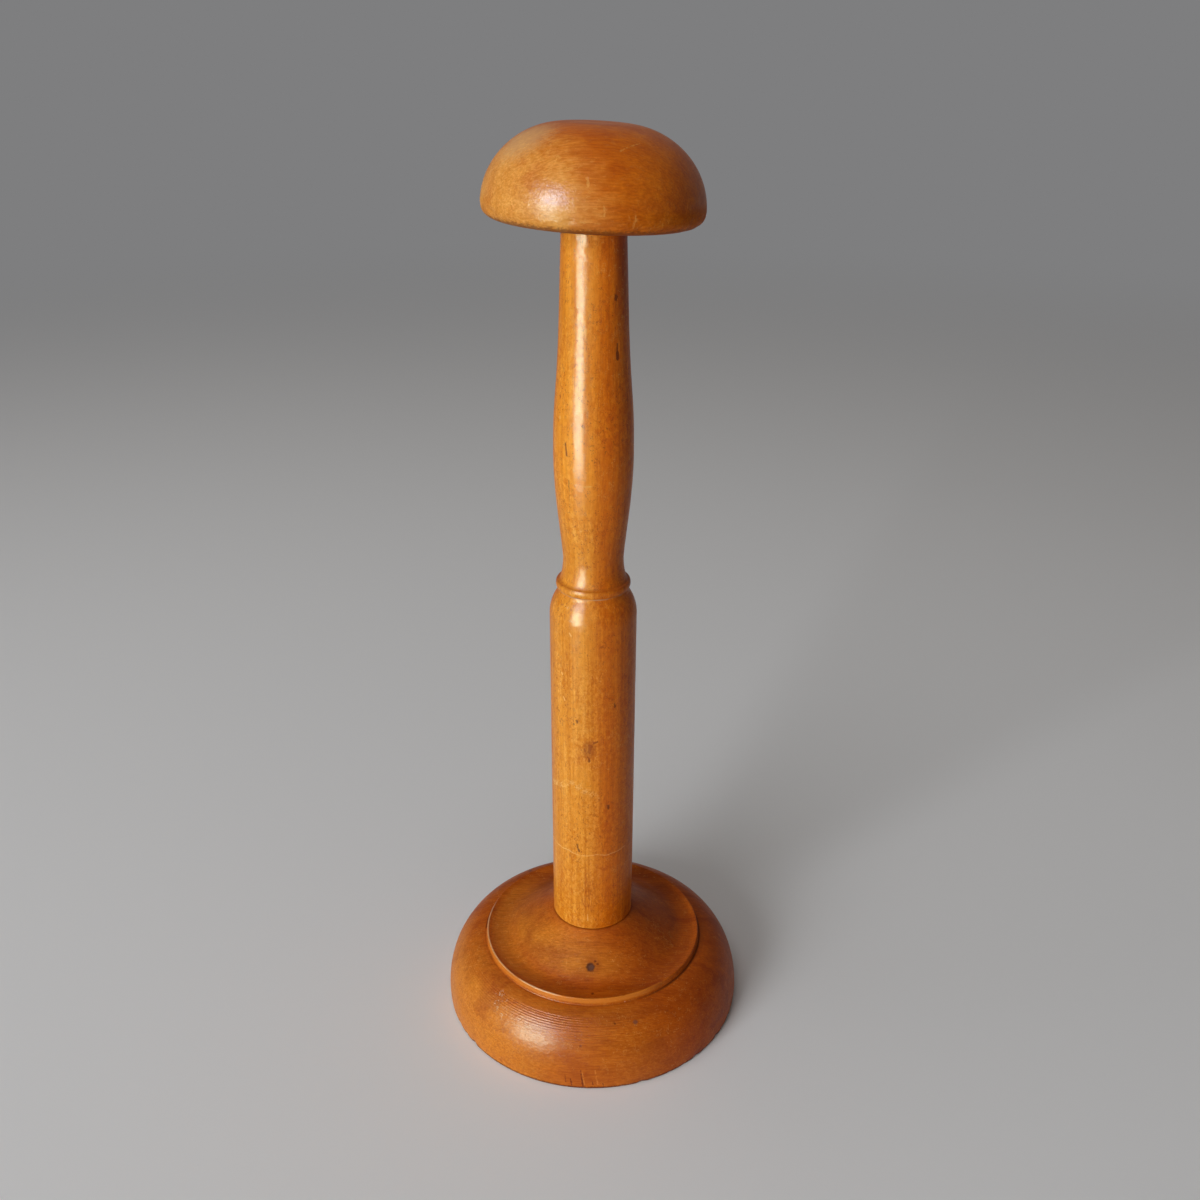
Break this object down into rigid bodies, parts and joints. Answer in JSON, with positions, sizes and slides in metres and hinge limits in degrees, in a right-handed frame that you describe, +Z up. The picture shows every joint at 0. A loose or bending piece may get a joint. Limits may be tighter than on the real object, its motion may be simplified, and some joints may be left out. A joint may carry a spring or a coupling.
{
  "type": "hat stand",
  "caption": "Turned wooden hat stand: round stepped base, slim column with bead and baluster, and a domed mushroom head that a hat rests on.",
  "frame": {"origin": "centre of the base's underside, on the surface that the stand rests on", "axes": "+Z up along the column, +X to the right and -Y towards the viewer of the picture; the cap leans slightly towards +X"},
  "size_m": [0.1272, 0.1272, 0.3604],
  "materials": {
    "base_wood": "worn brown polish, low sheen",
    "column_wood": "worn brown polish, low sheen",
    "cap_wood": "worn brown polish, soft sheen",
    "wedge_wood": "bare wood"
  },
  "bodies": {
    "root": {"base": "base_wood", "column": "column_wood", "cap": "cap_wood", "foot_wedge": "wedge_wood"}
  },
  "joints": []
}
